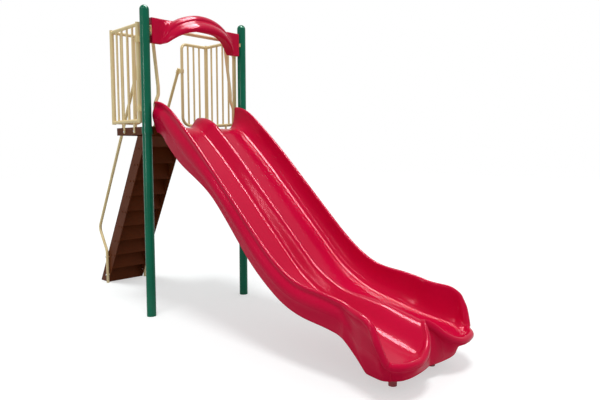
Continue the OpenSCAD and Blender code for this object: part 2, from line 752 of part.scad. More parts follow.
module hood_body(inset) {
    half = hood_half - inset;
    n = len(hood_ring(0, 0));
    points = [for (k = [0 : hood_steps]) let (y = -half + 2 * half * k / hood_steps)
        for (q = hood_ring(y, inset)) [q[0], y, q[1]]];
    sides = [for (k = [0 : hood_steps - 1]) for (m = [0 : n - 1])
        let (a = k * n + m, b = k * n + (m + 1) % n)
        each [[a, b, b + n], [a, b + n, a + n]]];
    start = [for (m = [n - 1 : -1 : 0]) m];
    end = [for (m = [0 : n - 1]) hood_steps * n + m];
    polyhedron(points, concat(sides, [start, end]), convexity = 6);
}

module slide_hood() {
    color(crimson) right() difference() {
        hood_body(0);
        hood_body(hood_skin);
        for (y = [-1, 1]) {
            for (p = hood_spots) bore_y([p[0], y * p[1], p[2]], 4 * hood_skin);
            bore_z([0, y * 0.93 * hood_half, hood_low], 4 * hood_skin);
        }
    }
}

// Saddle on the inner side of a post with a round-ended plate against the hood's end.
module hood_clamp() {
    mid = (hood_low + hood_high) / 2;
    wide = 44;
    high = 36;
    ends = 28;
    web = 30;
    color(tan) difference() {
        union() {
            translate([0, post_y, mid - high / 2]) cylinder(r = post_d / 2 + clamp_wall, h = high);
            translate([-wide / 2, hood_half, mid - ends]) cube([wide, tab_t, 2 * ends]);
            for (z = [-ends, ends]) translate([0, hood_half, mid + z]) rotate([-90, 0, 0])
                cylinder(d = wide, h = tab_t);
            translate([-web / 2, hood_half + 1, mid - high / 2])
                cube([web, post_y - hood_half - post_d / 2, high]);
        }
        translate([0, post_y, mid - high]) cylinder(d = post_d, h = 2 * high);
        translate([-post_d, post_y - hood_saddle * post_d / 2, mid - high])
            cube([2 * post_d, post_d, 2 * high]);
        for (p = hood_spots) bore_y(p, 4 * tab_t);
    }
}

module entry_hoop() {
    foot = [84, 40, tab_t];
    radii = [for (k = [1 : len(hoop_path) - 2]) hoop_path[k][2] == hoop_top ? 70 : 80];
    color(tan) right() {
        bent_tube(hoop_path, radii, [1, 0, 0]);
        for (y = [-1, 1]) difference() {
            translate([-foot[0] - 4, y * hoop_y - foot[1] / 2, deck_height]) cube(foot);
            for (p = hoop_spots) bore_z([p[0], y * p[1], p[2]], 4 * tab_t);
            bore_z([hoop_x, y * hoop_y, deck_height], 4 * tab_t, rail_d - rail_wall);
        }
    }
}

module picket(x, y) {
    bite = 2;
    translate([x, y, low_rail + rail_r - bite])
        cylinder(d = picket_d, h = top_rail - low_rail - rail_d + 2 * bite);
}

module side_barrier() {
    ends = [-front_upright, barrier_x];
    span = ends[1] - ends[0];
    color(tan) difference() {
        union() {
            for (x = ends) translate([x, post_y, low_rail - rail_r - upright_end])
                cylinder(d = upright, h = top_rail - low_rail + rail_d + 2 * upright_end);
            for (z = [low_rail, top_rail])
                straight([ends[0], post_y, z], [ends[1], post_y, z], rail_d, rail_wall);
            for (k = [1 : side_pickets]) picket(ends[0] + span * k / (side_pickets + 1), post_y);
            for (x = side_tabs) translate([x - tab_w / 2, deck_edge, tab_z - tab_low])
                cube([tab_w, tab_t, low_rail - rail_r / 2 - tab_z + tab_low]);
        }
        for (x = ends) translate([x, post_y, low_rail - rail_r - upright_end - 1])
            cylinder(d = upright - 2 * rail_wall, h = top_rail - low_rail + rail_d + upright_end);
        for (x = side_tabs) bore_y([x, deck_edge, tab_z], 4 * tab_t);
    }
}

module rear_barrier() {
    first = hand_y + 5;
    last_one = post_y - upright / 2;
    color(tan) difference() {
        union() {
            tube(rear_path, [upper_bend, lower_bend]);
            for (k = [1 : rear_pickets])
                picket(barrier_x, first + (last_one - first) * k / (rear_pickets + 1));
            for (y = rear_tabs) translate([-deck_rear - tab_t, y - tab_w / 2, tab_z - tab_low])
                cube([tab_t, tab_w, low_rail - rail_r / 2 - tab_z + tab_low]);
        }
        translate([barrier_x, post_y, low_rail - 100]) cylinder(d = upright, h = top_rail - low_rail + 200);
        for (y = rear_tabs) bore_x([-deck_rear, y, tab_z], 4 * tab_t);
    }
}

module barrier_clamps() {
    color(tan) for (z = clamp_levels) translate([0, post_y, z])
        twin_clamp(post_d, upright, front_upright, 50, 0, true);
}

module stringer() {
    color(brown) difference() {
        union() {
            translate([0, stair_y, 0]) rotate([90, 0, 0]) linear_extrude(stringer_t) polygon([
                [front_x(0), 0],
                [rear_x(0), 0],
                [rear_x(deck_height), deck_height],
                [-deck_rear, deck_height],
                [-deck_rear, deck_height - deck_flange]
            ]);
            translate([-deck_rear - tab_t, stair_y - 2, deck_height - deck_flange + 4])
                cube([tab_t, 62, deck_flange - 8]);
        }
        for (p = lug_spots) bore_x(p, 4 * tab_t);
        for (p = step_spots) bore_y(p, 4 * stringer_t);
        for (z = hand_fix) bore_y([hand_foot, stair_y, z], 4 * stringer_t);
    }
}

// Folded sheet: a tread, the riser below it and an ear at each end.
module step(k) {
    half = stair_y - stringer_t - fit_gap;
    z = k * rise;
    x = front_x(z) - edge_gap;
    nose = front_x(z) - tread_depth;
    low = (k - 1) * rise;
    foot = front_x(low) - edge_gap - step_sheet;
    ear = 30;
    color(brown) right() difference() {
        union() {
            rotate([90, 0, 0]) linear_extrude(2 * half, center = true) {
                polygon([[nose, z - step_sheet], [x, z - step_sheet], [x, z], [nose, z]]);
                polygon([[nose, z], [foot, low], [foot + step_sheet, low], [nose + step_sheet, z]]);
            }
            for (y = [-half, half - step_sheet])
                translate([nose + 24, y, z - step_sheet / 2 - ear]) cube([x - nose - 34, step_sheet, ear]);
        }
        for (p = [step_spots[2 * k - 2], step_spots[2 * k - 1]]) bore_y([p[0], 0, p[2]], 3 * half);
    }
}

// Folded sheet between the deck's rear flange and the uppermost tread.
module top_riser() {
    half = stair_y - stringer_t - fit_gap;
    low = step_count * rise;
    turn = deck_height - deck_flange + 4;
    foot = front_x(low) - edge_gap - step_sheet;
    color(brown) right() difference() {
        rotate([90, 0, 0]) linear_extrude(2 * half, center = true) polygon([
            [-deck_rear, deck_height - 6],
            [-deck_rear - step_sheet, deck_height - 6],
            [-deck_rear - step_sheet, turn],
            [foot, low],
            [foot + step_sheet, low],
            [-deck_rear, turn]
        ]);
        for (p = riser_spots) bore_x(p, 4 * step_sheet);
    }
}

module handrail() {
    color(tan) difference() {
        union() {
            bent_tube(hand_path, [handrail_bend, handrail_bend], [0, 1, 0]);
            translate(last(hand_path)) rotate([0, 90 - stair_angle, 0]) translate([0, 0, -2])
                cylinder(d = rail_d + 3, h = 6);
            for (z = hand_fix) translate([hand_foot, stair_y, z]) rotate([-90, 0, 0])
                cylinder(d = 24, h = side_gap + rail_wall);
        }
        for (z = hand_fix) bore_y([hand_foot, hand_y, z], 2 * rail_d);
    }
}

module handrail_clamp() {
    color(tan) translate([barrier_x, hand_y, grip[2]])
        twin_clamp(rail_d, rail_d, barrier_x - grip[0], 38, 90 - stair_angle);
}

// Screw along Z with its head below 0.
module screw(long) {
    translate([0, 0, -6]) cylinder(d = 1.8 * bolt_d, h = 6);
    translate([0, 0, -1]) cylinder(d = bolt_d, h = long + 1);
}

module slide_bolts() {
    color(steel) right() for (p = slide_spots)
        translate([-deck_sheet, p[1], p[2]]) rotate([0, 90, 0]) screw(deck_sheet);
}

module both_sides() {
    right() children();
    left() children();
}

module deck_bolts() {
    color(steel) {
        both_sides() for (p = clamp_spots)
            translate([p[0] + tab_t, p[1], p[2]]) rotate([0, -90, 0]) bolt(tab_t + deck_sheet);
        both_sides() for (p = lug_spots)
            translate([p[0] - tab_t, p[1], p[2]]) rotate([0, 90, 0]) bolt(tab_t + deck_sheet);
        right() for (p = riser_spots)
            translate([p[0] - step_sheet, p[1], p[2]]) rotate([0, 90, 0]) bolt(step_sheet + deck_sheet);
    }
}

module barrier_bolts() {
    color(steel) both_sides() {
        for (x = side_tabs)
            translate([x, deck_edge + tab_t, tab_z]) rotate([90, 0, 0]) bolt(tab_t + deck_sheet);
        for (y = rear_tabs)
            translate([-deck_rear - tab_t, y, tab_z]) rotate([0, 90, 0]) bolt(tab_t + deck_sheet);
    }
}

module hoop_bolts() {
    color(steel) both_sides() for (p = hoop_spots)
        translate([p[0], p[1], deck_height + tab_t]) rotate([180, 0, 0]) bolt(tab_t + deck_sheet);
}

module hood_bolts() {
    color(steel) both_sides() for (p = hood_spots)
        translate([p[0], p[1] + tab_t, p[2]]) rotate([90, 0, 0]) bolt(tab_t + hood_skin);
}

module step_bolts() {
    color(brown) both_sides() for (p = step_spots)
        translate(p) rotate([90, 0, 0]) bolt(stringer_t + fit_gap + step_sheet);
}

module handrail_bolts() {
    color(steel) both_sides() for (z = hand_fix)
        translate([hand_foot, hand_y + rail_r, z]) rotate([90, 0, 0]) bolt(rail_d + side_gap + stringer_t);
}

module left_post() {
    left() post();
}

module right_post() {
    right() post();
}

module left_post_cap() {
    left() post_cap();
}

module right_post_cap() {
    right() post_cap();
}

module left_deck_clamp() {
    left() deck_clamp();
}

module right_deck_clamp() {
    right() deck_clamp();
}

module left_exit_leg() {
    left() exit_leg();
}

module right_exit_leg() {
    right() exit_leg();
}

module left_hood_clamp() {
    left() hood_clamp();
}

module right_hood_clamp() {
    right() hood_clamp();
}

module left_side_barrier() {
    left() side_barrier();
}

module right_side_barrier() {
    right() side_barrier();
}

module left_rear_barrier() {
    left() rear_barrier();
}

module right_rear_barrier() {
    right() rear_barrier();
}

module left_barrier_clamps() {
    left() barrier_clamps();
}

module right_barrier_clamps() {
    right() barrier_clamps();
}

module left_stringer() {
    left() stringer();
}

module right_stringer() {
    right() stringer();
}

module step_1() {
    step(1);
}

module step_2() {
    step(2);
}

module step_3() {
    step(3);
}

module step_4() {
    step(4);
}

module step_5() {
    step(5);
}

module step_6() {
    step(6);
}

module step_7() {
    step(7);
}

module step_8() {
    step(8);
}

module step_9() {
    step(9);
}

module left_handrail() {
    left() handrail();
}

module right_handrail() {
    right() handrail();
}

module left_handrail_clamp() {
    left() handrail_clamp();
}

module right_handrail_clamp() {
    right() handrail_clamp();
}

left_post();
right_post();
left_post_cap();
right_post_cap();
deck();
left_deck_clamp();
right_deck_clamp();
slide_bed();
left_exit_leg();
right_exit_leg();
slide_hood();
left_hood_clamp();
right_hood_clamp();
entry_hoop();
left_side_barrier();
right_side_barrier();
left_rear_barrier();
right_rear_barrier();
left_barrier_clamps();
right_barrier_clamps();
left_stringer();
right_stringer();
step_1();
step_2();
step_3();
step_4();
step_5();
step_6();
step_7();
step_8();
step_9();
top_riser();
left_handrail();
right_handrail();
left_handrail_clamp();
right_handrail_clamp();
slide_bolts();
deck_bolts();
barrier_bolts();
hoop_bolts();
hood_bolts();
step_bolts();
handrail_bolts();
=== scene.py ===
import math

import bpy
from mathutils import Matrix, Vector


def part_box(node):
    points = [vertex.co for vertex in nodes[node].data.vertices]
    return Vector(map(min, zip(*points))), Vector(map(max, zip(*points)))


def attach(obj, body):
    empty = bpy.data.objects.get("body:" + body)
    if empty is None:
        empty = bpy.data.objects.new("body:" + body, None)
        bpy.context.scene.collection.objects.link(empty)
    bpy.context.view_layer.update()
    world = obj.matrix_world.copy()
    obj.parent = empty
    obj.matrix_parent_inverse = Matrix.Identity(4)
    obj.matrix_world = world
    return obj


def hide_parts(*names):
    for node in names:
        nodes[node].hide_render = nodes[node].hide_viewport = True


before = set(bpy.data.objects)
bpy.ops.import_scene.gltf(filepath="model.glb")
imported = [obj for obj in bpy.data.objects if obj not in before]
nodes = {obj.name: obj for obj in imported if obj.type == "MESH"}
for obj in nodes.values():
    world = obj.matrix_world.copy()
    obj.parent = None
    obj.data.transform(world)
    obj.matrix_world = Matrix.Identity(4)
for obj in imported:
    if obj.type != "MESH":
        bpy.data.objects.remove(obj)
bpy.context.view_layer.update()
bpy.ops.object.select_all(action="DESELECT")

MM = 0.001
# Metres within which vertices are one, and decimals that tell their places apart.
weld, place_digits = 1e-5, 6


# Shader sockets as Python values

class Value:
    """A shader socket that takes part in Python arithmetic."""

    def __init__(self, finish, socket):
        self.finish = finish
        self.socket = socket

    def _math(self, operation, a, b=0.0):
        return self.finish.node("Math", {"operation": operation}, {0: a, 1: b})

    def __add__(self, other):
        return self._math("ADD", self, other)

    __radd__ = __add__

    def __rsub__(self, other):
        return self._math("SUBTRACT", other, self)

    def __mul__(self, other):
        return self._math("MULTIPLY", self, other)

    def at_least(self, other):
        return self._math("MAXIMUM", self, other)

    def between(self, low, high):
        """0 below low, 1 above high, smooth in between."""
        return self.finish.node(
            "MapRange",
            {"interpolation_type": "SMOOTHSTEP"},
            {"Value": self, "From Min": low, "From Max": high},
        )


class Nodes:
    """Adds nodes to one node tree."""

    def __init__(self, tree):
        self.tree = tree

    def node(self, kind, settings, sockets, output=0):
        made = self.tree.nodes.new("ShaderNode" + kind)
        for key, value in settings.items():
            setattr(made, key, value)
        for key, value in sockets.items():
            self.fill(made.inputs[key], value)
        return Value(self, made.outputs[output])

    def fill(self, socket, value):
        """Links a value to a socket, or sets a plain number or colour on it."""
        if isinstance(value, Value):
            self.tree.links.new(value.socket, socket)
        elif socket.type == "RGBA" and len(value) == 3:
            socket.default_value = (*value, 1.0)
        else:
            socket.default_value = value

    def seen(self):
        """1 for what the camera sees, directly or by reflection, 0 for what only lights."""
        rays = self.node("LightPath", {}, {}, "Is Camera Ray")
        for ray in ("Is Glossy Ray", "Is Transmission Ray"):
            rays = rays.at_least(self.node("LightPath", {}, {}, ray))
        return rays


class Finish(Nodes):
    """A procedural material on one Principled shader."""

    def __init__(self, name):
        self.material = bpy.data.materials.new(name)
        self.material.use_nodes = True
        super().__init__(self.material.node_tree)
        self.shader = self.tree.nodes["Principled BSDF"]
        self.place = self.node("TexCoord", {}, {}, "Object")

    def stretched(self, scale):
        return self.node("Mapping", {}, {"Vector": self.place, "Scale": scale})

    def noise(self, scale, detail=3.0, roughness=0.5, place=None):
        return self.node(
            "TexNoise",
            {},
            {"Vector": place or self.place, "Scale": scale, "Detail": detail, "Roughness": roughness},
        )

    def mix(self, share, a, b):
        return self.node("Mix", {"data_type": "RGBA"}, {0: share, 6: a, 7: b}, 2)

    def facing(self):
        """Z of the surface's own direction."""
        way = self.node("NewGeometry", {}, {}, "Normal")
        return self.node("SeparateXYZ", {}, {0: way}, "Z")

    def height(self):
        return self.node("SeparateXYZ", {}, {0: self.place}, "Z")

    def corners(self, low, high):
        """1 on sharp outer edges, 0 on flats and hollows."""
        return self.node("NewGeometry", {}, {}, "Pointiness").between(low, high)

    def bump(self, height, strength, distance, under=None):
        sockets = {"Height": height, "Strength": strength, "Distance": distance}
        if under:
            sockets["Normal"] = under
        return self.node("Bump", {}, sockets)

    def set(self, **sockets):
        for name, value in sockets.items():
            self.fill(self.shader.inputs[name.replace("_", " ")], value)
        return self.material


# Finishes

def moulded_crimson():
    """Rotation-moulded plastic: slight mottle, fine orange peel, scuffs on the floors, matte below."""
    f = Finish("moulded_crimson")
    mottle = f.noise(1.7, 5.0, 0.55)
    pigment = f.noise(38.0, 2.0)
    streaks = f.noise(1.0, 4.0, 0.6, f.stretched((2.2, 95.0, 2.2))).between(0.56, 0.72)
    specks = f.noise(240.0, 2.0, 0.7).between(0.60, 0.74)
    floor = f.facing().between(0.55, 0.85)
    scuffs = streaks * floor
    below = 1.0 - f.facing().between(-0.5, 0.0)
    rubbed = f.corners(0.53, 0.62)
    colour = f.mix(mottle.between(0.3, 0.7), (0.590, 0.0020, 0.042), (0.640, 0.0028, 0.048))
    colour = f.mix(pigment.between(0.35, 0.75) * 0.25, colour, (0.550, 0.0018, 0.039))
    colour = f.mix(scuffs * 0.10 + rubbed * 0.10, colour, (0.70, 0.06, 0.10))
    rough = 0.14 + mottle * 0.03 + scuffs * 0.07 + specks * 0.03 + below * 0.6
    peel = f.bump(f.noise(330.0, 2.0), 0.02, 0.0006)
    ripple = f.bump(f.noise(7.0, 2.0), 0.015, 0.002, peel)
    return f.set(
        Base_Color=colour,
        Roughness=rough,
        Normal=ripple,
        Specular_IOR_Level=0.12,
        Specular_Tint=(1.0, 0.4, 0.48),
    )


def coated_metal(name, base, deep, chip, rough, dust):
    """Powder coat over tube or plate: orange peel, soft mottle, dust near the ground, scattered chips."""
    f = Finish(name)
    mottle = f.noise(3.2, 4.0, 0.6)
    streaks = f.noise(1.0, 3.0, 0.6, f.stretched((26.0, 26.0, 1.6)))
    peel = f.noise(420.0, 2.0, 0.6)
    low = (1.0 - f.height().between(0.02, 0.35)) * mottle.between(0.35, 0.65)
    nicks = f.noise(64.0, 4.0, 0.7).between(0.70, 0.76) * f.noise(5.0, 2.0).between(0.5, 0.65)
    colour = f.mix(mottle.between(0.3, 0.7), base, deep)
    colour = f.mix(streaks.between(0.5, 0.8) * 0.3, colour, deep)
    colour = f.mix(low * dust, colour, (0.46, 0.42, 0.36))
    colour = f.mix(nicks * 0.3, colour, chip)
    relief = f.bump(peel, 0.06, 0.0005)
    return f.set(
        Base_Color=colour,
        Roughness=rough + streaks * 0.10 + low * 0.15,
        Normal=relief,
        Specular_IOR_Level=0.12,
    )


def dipped_brown():
    """Thick dipped coating on the deck and the stair: pebbled, with pale scuffs where feet land."""
    f = Finish("dipped_brown")
    mottle = f.noise(2.6, 5.0, 0.6)
    pebble = f.node(
        "TexVoronoi", {"feature": "SMOOTH_F1"}, {"Vector": f.place, "Scale": 260.0, "Smoothness": 0.7}
    )
    treads = f.facing().between(0.6, 0.9)
    scuffs = f.noise(1.0, 4.0, 0.65, f.stretched((14.0, 42.0, 14.0))).between(0.52, 0.70) * treads
    colour = f.mix(mottle.between(0.3, 0.7), (0.132, 0.029, 0.004), (0.104, 0.021, 0.003))
    colour = f.mix(pebble.between(0.2, 0.7) * 0.35, colour, (0.078, 0.015, 0.002))
    colour = f.mix(scuffs * 0.22, colour, (0.32, 0.19, 0.13))
    relief = f.bump(pebble, 0.22, 0.0012)
    return f.set(
        Base_Color=colour,
        Roughness=0.46 + mottle * 0.14 + scuffs * 0.1,
        Normal=relief,
        Specular_IOR_Level=0.1,
    )


def zinc_steel():
    """Plated fasteners with fine turning marks and dull spots."""
    f = Finish("zinc_steel")
    spangle = f.node("TexVoronoi", {}, {"Vector": f.place, "Scale": 220.0})
    marks = f.noise(1.0, 2.0, 0.6, f.stretched((900.0, 900.0, 90.0)))
    dull = f.noise(60.0, 4.0).between(0.5, 0.7)
    colour = f.mix(spangle * 0.5, (0.62, 0.63, 0.64), (0.48, 0.49, 0.51))
    colour = f.mix(dull * 0.4, colour, (0.34, 0.33, 0.31))
    return f.set(
        Base_Color=colour,
        Metallic=1.0 - dull * 0.25,
        Roughness=0.28 + marks * 0.14 + dull * 0.2,
        Normal=f.bump(marks, 0.08, 0.0003),
    )


CRIMSON = moulded_crimson()
CRIMSON_PAINT = coated_metal(
    "crimson_coat",
    base=(0.56, 0.0035, 0.045), deep=(0.48, 0.003, 0.038), chip=(0.55, 0.50, 0.48), rough=0.28, dust=0.35,
)
GREEN = coated_metal(
    "green_coat",
    base=(0.0010, 0.180, 0.096), deep=(0.0008, 0.145, 0.076), chip=(0.30, 0.36, 0.32), rough=0.17, dust=0.06,
)
TAN = coated_metal(
    "tan_coat",
    base=(0.90, 0.73, 0.40), deep=(0.84, 0.66, 0.34), chip=(0.55, 0.52, 0.48), rough=0.32, dust=0.35,
)
BROWN = dipped_brown()
STEEL = zinc_steel()

SLOT_FINISH = {
    "crimson_plastic": CRIMSON,
    "crimson_paint": CRIMSON_PAINT,
    "green_paint": GREEN,
    "tan_paint": TAN,
    "brown_coat": BROWN,
    "bolt_steel": STEEL,
}


def finish_of(name):
    if name in ("slide_bed", "slide_hood"):
        return CRIMSON
    if name.endswith("_bolts") and name != "step_bolts":
        return STEEL
    if "post" in name or name.endswith("deck_clamp"):
        return GREEN
    if name.endswith("exit_leg"):
        return CRIMSON_PAINT
    if name == "deck" or "step" in name or "stringer" in name or "riser" in name:
        return BROWN
    return TAN


for name, node in nodes.items():
    if not node.material_slots:
        node.data.materials.append(None)
    for held in node.material_slots:
        held.material = finish_of(name)


# Sizes of the moulded bed, in millimetres from the ground midway between the posts

post_middle = (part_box("left_post")[0][0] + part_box("left_post")[1][0]) / 2 / MM
deck_height = 1830.0
rim_y, rim_roll, ridge_half, wall_foot = 488.0, 18.0, 120.0, 375.0
wall_heights = [(0, 240), (250, 186), (1700, 186), (2150, 206), (2850, 258), (3150, 285)]
ridge_height, ridge_out, ridge_wide, fork = 103.0, 160.0, 205.0, 200.0
# Round the exit each rim stops short of the lip, drops late, draws in as it falls and flares outward.
rim_short, rim_late, rim_tuck, exit_flare = 145.0, 88.0, 0.35, 0.15
# Length of the whole drop and of its steep part, and the share of the height lost in the steep part.
rim_drop, rim_plunge, rim_break = 200.0, 110.0, 0.75
foot_height, foot_share, foot_centre = 98.0, 0.8, 2450.0
rim_lip, lip_bead, lip_run, lip_crest, crest_run, bed_skin = 22.0, 20.0, 80.0, 16.0, 40.0, 8.0
# The fork between the exits: its round, sharpness and climb, and how its bead thins and its notch fills.
fork_round, fork_sharp, fork_climb = 35.0, 0.97, 2.2
fork_calm, fork_thin, fork_fill = 60.0, 0.7, 0.8
# How far back from the lip each change toward the exit starts, and over what length it goes on.
bow_from, bow_power = 620.0, 1.5
upright_from, upright_run = 650.0, 350.0
flare_from, flare_run = 560.0, 460.0
bead_from, bead_run, bead_more = 900.0, 600.0, 0.5
steep_from, steep_run, steep_most = 800.0, 500.0, 0.55
spread_from, spread_run = 1000.0, 700.0
turn_from, turn_run = 430.0, 170.0
calm_from, calm_run = 560.0, 360.0
fade_from, fade_run, fade_most = 750.0, 420.0, 0.75
# A wall this high above the floor carries its skirt straight down.
tall_from, tall_run = 45.0, 150.0
# Rows of the skirt that belong to the rim's roll, to the exit's bead and to the calm upper part.
roll_rows, bead_rows, calm_rows = 3, 4, 6
chute_y = (ridge_half + wall_foot) / 2
# Steps of the section across the ridge, the floor and the wall, and the turns of the rim's roll.
ridge_steps, floor_steps, wall_steps, roll_turns = 10, 10, 8, (25, 45, 62, 77, 90)
# Distance on either side that gives the rim's slope.
slope_reach = 2
bends = [(50, 0), (210, 37.5), (660, 42.5), (1000, 42.5), (640, 10), (360, 15), (430, 6)]
# The skirt's depth by distance along the floor, then its form along the sides, as outward and downward, round
# the exit, as outward, share of the way in to the foot and downward, and below a high wall, as two shares.
skirt_depths = [(0, 300), (450, 320), (1150, 205), (1900, 240), (2700, 255)]
side_form = [
    (12, 5), (16, 16), (11, 29), (10, 39), (22, 51), (35, 69), (40, 94), (31, 126), (8, 162), (-5, 205)
]
exit_form = [
    (11, 0, 3), (18, 0, 13), (17, 0, 27), (9, 0.04, 38), (1, 0.2, 0.08),
    (0, 0.42, 0.18), (0, 0.62, 0.32), (0, 0.8, 0.5), (0, 0.9, 0.74), (0, 1, 1),
]
wall_form = [
    (0, 0), (0, 0), (0, 0), (0, 0), (0, 0.15), (0.02, 0.35), (0.1, 0.54), (0.4, 0.68), (0.78, 0.84), (1, 1)
]
bed_length = float(sum(run for run, slope in bends))


def ease(t):
    c = min(1.0, max(0.0, t))
    return c * c * (3 - 2 * c)


def toward_exit(s, start, run):
    """0 until so far before the lip, then rising to 1 over the run."""
    return ease((s - bed_length + start) / run)


def floor_at(s):
    """Place and slope of the chutes' floor line at a distance along it."""
    x, z, slope, at = 0.0, deck_height, 0.0, 0.0
    for index, (run, end) in enumerate(bends):
        far = index == len(bends) - 1
        part = s - at if far or s <= at + run else run
        a, b = math.radians(slope), math.radians(slope + (end - slope) * part / run)
        if abs(b - a) < 1e-9:
            x, z = x + part * math.cos(a), z - part * math.sin(a)
        else:
            radius = part / (b - a)
            x, z = x + radius * (math.sin(b) - math.sin(a)), z + radius * (math.cos(b) - math.cos(a))
        if far or s <= at + run:
            return x, z, b
        at, slope = at + run, end


def along(table, s):
    """A value that eases from row to row of a table of distances and values."""
    for (a, first), (b, second) in zip(table, table[1:]):
        if s < b:
            return first + (second - first) * ease((s - a) / (b - a))
    return table[-1][1]


def half_section():
    """From the ridge's crest to the rim's crest: distance across, draw of the roll, wall and roll shares."""
    part = []
    for k in range(ridge_steps + 1):
        part.append((ridge_half * k / ridge_steps, 0.0, 0.0, 0.0))
    for k in range(1, floor_steps):
        part.append((ridge_half + (wall_foot - ridge_half) * k / floor_steps, 0.0, 0.0, 0.0))
    for k in range(wall_steps + 1):
        a = math.radians(90 / wall_steps * k)
        part.append((wall_foot + (rim_y - wall_foot) * math.sin(a), math.sin(a), 1 - math.cos(a), 0.0))
    for degrees in roll_turns:
        b = math.radians(degrees)
        part.append((rim_y, math.cos(b), 1.0, math.sin(b)))
    return part


def fork_share(y):
    """How near a line lies to the fork between the two exits: 0 at a chute's middle, 1 at the ridge."""
    return max(0.0, (chute_y - math.hypot(y, fork_round) + fork_round) / chute_y)


def short_at(y):
    """How far a line along the bed stops short of the lip, so that each chute ends in a round spoon."""
    if y < chute_y:
        return fork * (1 - math.sqrt(1 - (fork_sharp * fork_share(y)) ** 2))
    return rim_short * (1 - math.sqrt(max(0.0, 1 - ((y - chute_y) / (rim_y - chute_y)) ** 2)))


def thick_at(s):
    """The rolled rims grow into a thick bead round the exits."""
    return 1 + bead_more * toward_exit(s, bead_from, bead_run)


def rim_fall(run):
    """Share of the outer wall's height that is left where its rim drops to the lip."""
    left = max(0.0, bed_length - rim_late - run)
    return rim_break * ease(left / rim_plunge) + (1 - rim_break) * ease(left / rim_drop)


def wall_at(run):
    """Height of the outer wall above the floor."""
    return rim_lip + (along(wall_heights, run) - rim_lip) * rim_fall(run)


def skin_point(s, section, side):
    """A point of the upper skin at a distance along the bed and a place of its section, on one side."""
    reach, drawn_in, wall_share, roll_share = section
    roll = rim_roll * thick_at(s)
    y = reach - drawn_in * roll
    bow = max(0.0, (s - bed_length + bow_from) / bow_from) ** bow_power
    run = s - short_at(y) * bow
    left = bed_length - short_at(y) - run
    x, z, slope = floor_at(run)
    lean = slope * (1 - toward_exit(run, upright_from, upright_run))
    flare = 1 + exit_flare * toward_exit(run, flare_from, flare_run)
    fall = rim_fall(run)
    wall = wall_at(run)
    dive = math.atan((wall_at(run - slope_reach) - wall_at(run + slope_reach)) / (2 * slope_reach))
    steep = steep_most * fall * toward_exit(run, steep_from, steep_run)
    foot = wall_foot + (rim_y - wall_foot) * steep
    across = y
    if y > ridge_half:
        spread = (min(y, wall_foot) - ridge_half) * (foot - ridge_half) / (wall_foot - ridge_half)
        across = ridge_half + spread
    if y > wall_foot:
        across = foot + (y - wall_foot) * (1 - steep) * (1 - rim_tuck * (1 - fall))
    across = across * flare
    out = toward_exit(run, spread_from, spread_run)
    hump = min(1.0, y / (ridge_half + (ridge_wide - ridge_half) * out))
    ridge = ridge_height + (ridge_out - ridge_height) * out
    up = ridge * (1 + math.cos(math.pi * hump)) / 2 + wall_share * (wall - roll)
    up += roll_share * roll * math.cos(dive)
    x += roll_share * roll * math.sin(dive)
    lip = lip_bead + (ridge_out - lip_bead) * fork_share(y) ** fork_climb if y < chute_y else lip_bead
    up = up + (max(up, lip) - up) * (1 - ease(left / lip_run)) + lip_crest * (1 - ease(left / crest_run))
    return Vector((x + up * math.sin(lean), side * across, z + up * math.cos(lean)))


# Modelling helpers

def put(point):
    """From millimetres round the posts to the frame's metres."""
    return Vector(((point[0] + post_middle) * MM, point[1] * MM, point[2] * MM))


def in_edit(select_mode, choose, *steps):
    """Selects elements of the active mesh in code and runs edit operators on them."""
    mesh = bpy.context.object.data
    bpy.ops.object.mode_set(mode="EDIT")
    bpy.ops.mesh.select_mode(type=select_mode)
    bpy.ops.mesh.select_all(action="DESELECT")
    bpy.ops.object.mode_set(mode="OBJECT")
    elements = {"VERT": mesh.vertices, "EDGE": mesh.edges, "FACE": mesh.polygons}[select_mode]
    for element in elements:
        if choose(element):
            element.select = True
    bpy.ops.object.mode_set(mode="EDIT")
    for step in steps:
        step()
    bpy.ops.object.mode_set(mode="OBJECT")


def modify(piece, kind, **settings):
    modifier = piece.modifiers.new(kind.lower(), kind)
    for key, value in settings.items():
        setattr(modifier, key, value)
    bpy.ops.object.modifier_apply(modifier=modifier.name)


def finished(piece, name, slot, *replaced):
    piece.name = piece.data.name = name
    piece.data.materials.clear()
    piece.data.materials.append(SLOT_FINISH[slot])
    bpy.ops.object.shade_smooth()
    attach(piece, "root")
    if replaced:
        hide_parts(*replaced)
    piece.select_set(False)


def grid(long, wide):
    """A flat grid with so many lines along and across, each vertex known by its two line numbers."""
    bpy.ops.mesh.primitive_grid_add(
        x_subdivisions=long - 1, y_subdivisions=wide - 1, size=1.0, location=(0, 0, 0)
    )
    piece = bpy.context.object
    lines = {}
    for vertex in piece.data.vertices:
        i = round((vertex.co.x + 0.5) * (long - 1))
        j = round((vertex.co.y + 0.5) * (wide - 1))
        lines[i, j] = vertex.index
    assert len(lines) == len(piece.data.vertices) == long * wide
    return piece, lines


def place_key(vertex):
    return tuple(round(c, place_digits) for c in vertex.co)


def drawn_out(mesh, line):
    """Extrudes the edges along a line of vertices and gives the new vertices in the line's order."""
    pairs = {frozenset(pair) for pair in zip(line, line[1:])}
    places = {place_key(mesh.vertices[v]): k for k, v in enumerate(line)}
    in_edit("EDGE", lambda e: frozenset(e.vertices) in pairs, bpy.ops.mesh.extrude_edges_move)
    fresh = [None] * len(line)
    for vertex in mesh.vertices:
        if vertex.select:
            fresh[places[place_key(vertex)]] = vertex.index
    return fresh


# Slide bed

# Rows of the grid: close at the entry, wide on the straight and the wave, close again at the exit.
entry_rows = [0, 12, 26, 42, 60, 80, 100, 122, 146, 172, 200, 230, 265, 300]
straight_end, straight_step = 1960, 75
wave_step, exit_reach, exit_rows = 55, 560, 46
# Border points on either side that give the rim's direction.
path_reach = 3


